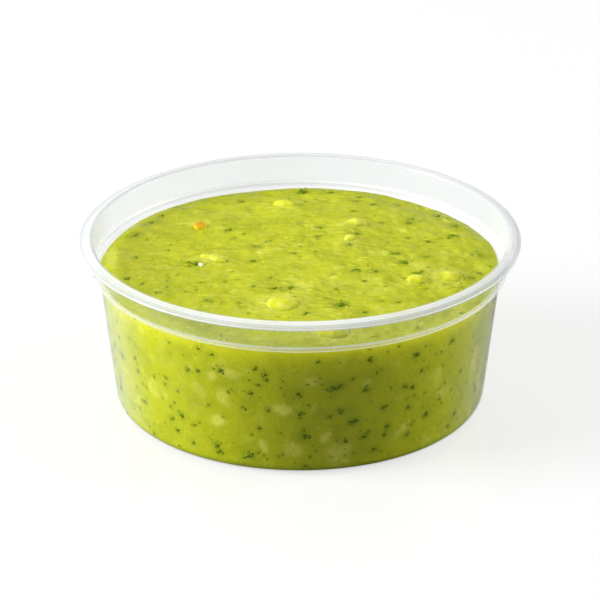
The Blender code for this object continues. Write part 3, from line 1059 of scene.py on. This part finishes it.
def wall_leaf_places():
    """Every scrap against the wall: degrees, height and size in metres."""
    rng = np.random.default_rng(6)
    places = [(degrees, height * MM, size * MM) for degrees, height, size in LEAF_WALL]
    for _ in range(BACK_SCRAPS):
        places.append((rng.uniform(65, 295), rng.uniform(2.5, 36.5) * MM, rng.uniform(1.0, 2.6) * MM))
    for _ in range(WALL_CRUMBS):
        places.append((rng.uniform(-180, 180), rng.uniform(2.0, 36.5) * MM, rng.uniform(0.35, 0.95) * MM))
    return places


def wall_place(form, degrees, height, proud):
    """A point just off the paste's side, and the normal there."""
    turn = math.radians(degrees) - math.pi / 2
    out = Vector((math.cos(turn), math.sin(turn), 0.0))
    centre = out * (form.wall_radius(height) + proud) + Vector((0.0, 0.0, height))
    return centre, (out - Vector((0.0, 0.0, form.taper))).normalized()


class GUACAMOLE_OT_leaf(bpy.types.Operator):
    """Scatter chopped coriander leaf over the top and against the wall"""

    bl_idname = "guacamole.leaf"
    bl_label = "Coriander leaf"

    def scrap(self, heap, rng, centre, normal, size, tilt, sink):
        """One scrap: a torn bit with smaller crumbs about it, lying mostly across."""
        count = 1 + int(rng.integers(0, 2)) + int(size / (0.55 * MM))
        for index in range(count):
            bit = size * (0.78 if index == 0 else rng.uniform(0.16, 0.5))
            points, faces = leaf_bit(rng, 0.5 * bit, 0.5 * bit * rng.uniform(0.45, 0.85), 0.04 * MM)
            lean = Vector(rng.uniform(-tilt, tilt, 3))
            slip = Vector(rng.uniform(-0.5, 0.5, 3)) * size * (0.15 if index == 0 else 1.0)
            slip -= normal * slip.dot(normal)
            turn = rng.uniform(-0.6, 0.6) + (math.pi if rng.random() < 0.5 else 0.0)
            spot = centre + slip - normal * rng.uniform(0.0, sink)
            shade = float(rng.uniform(0.2, 0.7) if index == 0 else rng.uniform(0.5, 1.0))
            heap.add(place(points, spot, (normal + lean).normalized(), turn), faces, shade)

    def execute(self, context):
        form = surface()
        rng = np.random.default_rng(7)
        heap = Heap()
        for x, y, size in leaf_places(form):
            z = form.level(x, y)
            centre = Vector((x, y, z + 0.03 * MM))
            self.scrap(heap, rng, centre, form.slope(np.array(x), np.array(y)), size, 0.16, 0.06 * MM)
        new_piece("coriander_top", heap.mesh("coriander_top"), finish("leaf"), slot="guacamole")
        heap = Heap()
        for degrees, height, size in wall_leaf_places():
            centre, normal = wall_place(form, degrees, height, 0.03 * MM)
            self.scrap(heap, rng, centre, normal, size, 0.01, 0.02 * MM)
        new_piece("coriander_wall", heap.mesh("coriander_wall"), finish("leaf"), slot="guacamole")
        return {"FINISHED"}


class GUACAMOLE_OT_pulp(bpy.types.Operator):
    """Scatter small pale bits of avocado over the top"""

    bl_idname = "guacamole.pulp"
    bl_label = "Avocado pulp"

    def execute(self, context):
        form = surface()
        rng = np.random.default_rng(9)
        template = ball_template(2)
        heap = Heap()
        for _ in range(PULP_BITS):
            r = (form.edge - 1.2 * MM) * math.sqrt(rng.random())
            around = rng.uniform(0, 2 * math.pi)
            x, y = r * math.cos(around), r * math.sin(around)
            size = 0.15 * MM * (1 + 2.0 * rng.random() ** 3)
            points = lump(rng, template, size * rng.uniform(1.2, 4.0), size, size * 0.6)
            z = form.level(x, y) - 0.2 * size
            normal = form.slope(np.array(x), np.array(y))
            turn = rng.uniform(-0.5, 0.5)
            shade = float(rng.uniform(0.1, 0.9))
            heap.add(place(points, Vector((x, y, z)), normal, turn), template[1], shade)
        new_piece("pulp_top", heap.mesh("pulp_top"), finish("flesh"), slot="avocado_flesh")
        return {"FINISHED"}


# ---------------------------------------------------------------- stage


def aimed(obj, target):
    """Turn a lamp or camera to look at a point."""
    obj.rotation_euler = (target - obj.location).to_track_quat("-Z", "Y").to_euler()


def soft_lamp(name, location, target, size, power):
    """A square white area lamp."""
    data = bpy.data.lights.new(name, "AREA")
    data.size = size
    data.energy = power
    data.color = (1.0, 1.0, 1.0)
    lamp = bpy.data.objects.new(name, data)
    bpy.context.scene.collection.objects.link(lamp)
    lamp.location = location
    aimed(lamp, target)
    return lamp


class GUACAMOLE_OT_stage(bpy.types.Operator):
    """Set the floor, the soft white lamps, the surroundings and the camera"""

    bl_idname = "guacamole.stage"
    bl_label = "Stage"

    def execute(self, context):
        scene = context.scene
        s = scene.guac_stage
        self.floor(scene)
        self.world(scene, s)
        middle = Vector((0.0, 0.0, 0.5 * scene.guac_tub.height))
        soft_lamp("key_lamp", Vector((-1.2, -0.22, 0.56)), middle, 0.8, s.key)
        soft_lamp("fill_lamp", Vector((1.3, 0.1, 0.45)), middle, 0.8, s.fill)
        soft_lamp("top_lamp", Vector((-0.15, 0.9, 1.3)), middle, 1.1, s.top)
        data = bpy.data.cameras.new("camera")
        data.sensor_width = 36.0
        data.lens = s.lens
        data.clip_end = 20.0
        camera = bpy.data.objects.new("camera", data)
        scene.collection.objects.link(camera)
        out = Vector((0.0, -math.cos(s.elevation), math.sin(s.elevation)))
        camera.location = Vector((0.0, 0.0, LIP_LEVEL)) + s.distance * out
        aimed(camera, Vector((0.0, 0.0, s.aim_height)))
        scene.camera = camera
        scene.view_settings.view_transform = "Standard"
        return {"FINISHED"}

    def floor(self, scene):
        """A wide white floor with a faint polish, which throws little light back up."""
        bpy.ops.mesh.primitive_plane_add(size=12.0)
        floor = bpy.context.object
        floor.name = "floor"
        material, tree = new_material("pale_floor")
        seen = add(tree, "ShaderNodeLightPath").outputs["Is Camera Ray"]
        glow = blended(tree, seen, (0.0, 0.0, 0.0), (0.70, 0.70, 0.70))
        shader = add(tree, "ShaderNodeBsdfPrincipled")
        feed(tree, shader, Base_Color=(0.28, 0.28, 0.28), Roughness=0.10)
        feed(tree, shader, IOR=1.45, Emission_Color=glow, Emission_Strength=1.0)
        feed(tree, add(tree, "ShaderNodeOutputMaterial"), Surface=shader.outputs["BSDF"])
        floor.data.materials.append(material)

    def world(self, scene, s):
        """White surroundings: soft as a light, plain white as a backdrop."""
        world = bpy.data.worlds.new("white_room")
        world.use_nodes = True
        tree = world.node_tree
        tree.nodes.clear()
        path = add(tree, "ShaderNodeLightPath")
        mirrored = ranged(tree, path.outputs["Is Glossy Ray"], 0.0, 1.0, s.sky, s.sky_gloss, smooth=False)
        room = add(tree, "ShaderNodeMix", data_type="FLOAT")
        feed(tree, room, Factor=path.outputs["Is Camera Ray"], A=mirrored, B=1.0)
        sky = feed(tree, add(tree, "ShaderNodeBackground"), Color=(1.0, 1.0, 1.0), Strength=room.outputs[0])
        feed(tree, add(tree, "ShaderNodeOutputWorld"), Surface=sky.outputs["Background"])
        scene.world = world


# ---------------------------------------------------------------- panel and registration

OPERATORS = (
    GUACAMOLE_OT_tub,
    GUACAMOLE_OT_paste,
    GUACAMOLE_OT_chunks,
    GUACAMOLE_OT_bits,
    GUACAMOLE_OT_leaf,
    GUACAMOLE_OT_pulp,
    GUACAMOLE_OT_stage,
)


class GUACAMOLE_PT_panel(bpy.types.Panel):
    """Lists the pieces of the guacamole in building order"""

    bl_idname = "GUACAMOLE_PT_panel"
    bl_label = "Guacamole"
    bl_space_type = "VIEW_3D"
    bl_region_type = "UI"
    bl_category = "Guacamole"

    def draw(self, context):
        for operator in OPERATORS:
            self.layout.operator(operator.bl_idname)


CLASSES = (*GROUPS.values(), *OPERATORS, GUACAMOLE_PT_panel)


def register():
    for cls in CLASSES:
        bpy.utils.register_class(cls)
    for name, group in GROUPS.items():
        setattr(bpy.types.Scene, name, PointerProperty(type=group))


def unregister():
    for name in GROUPS:
        delattr(bpy.types.Scene, name)
    for cls in reversed(CLASSES):
        bpy.utils.unregister_class(cls)


def main():
    register()
    for operator in OPERATORS:
        group, call = operator.bl_idname.split(".")
        getattr(getattr(bpy.ops, group), call)()
    bpy.context.view_layer.update()


if __name__ == "__main__":
    main()
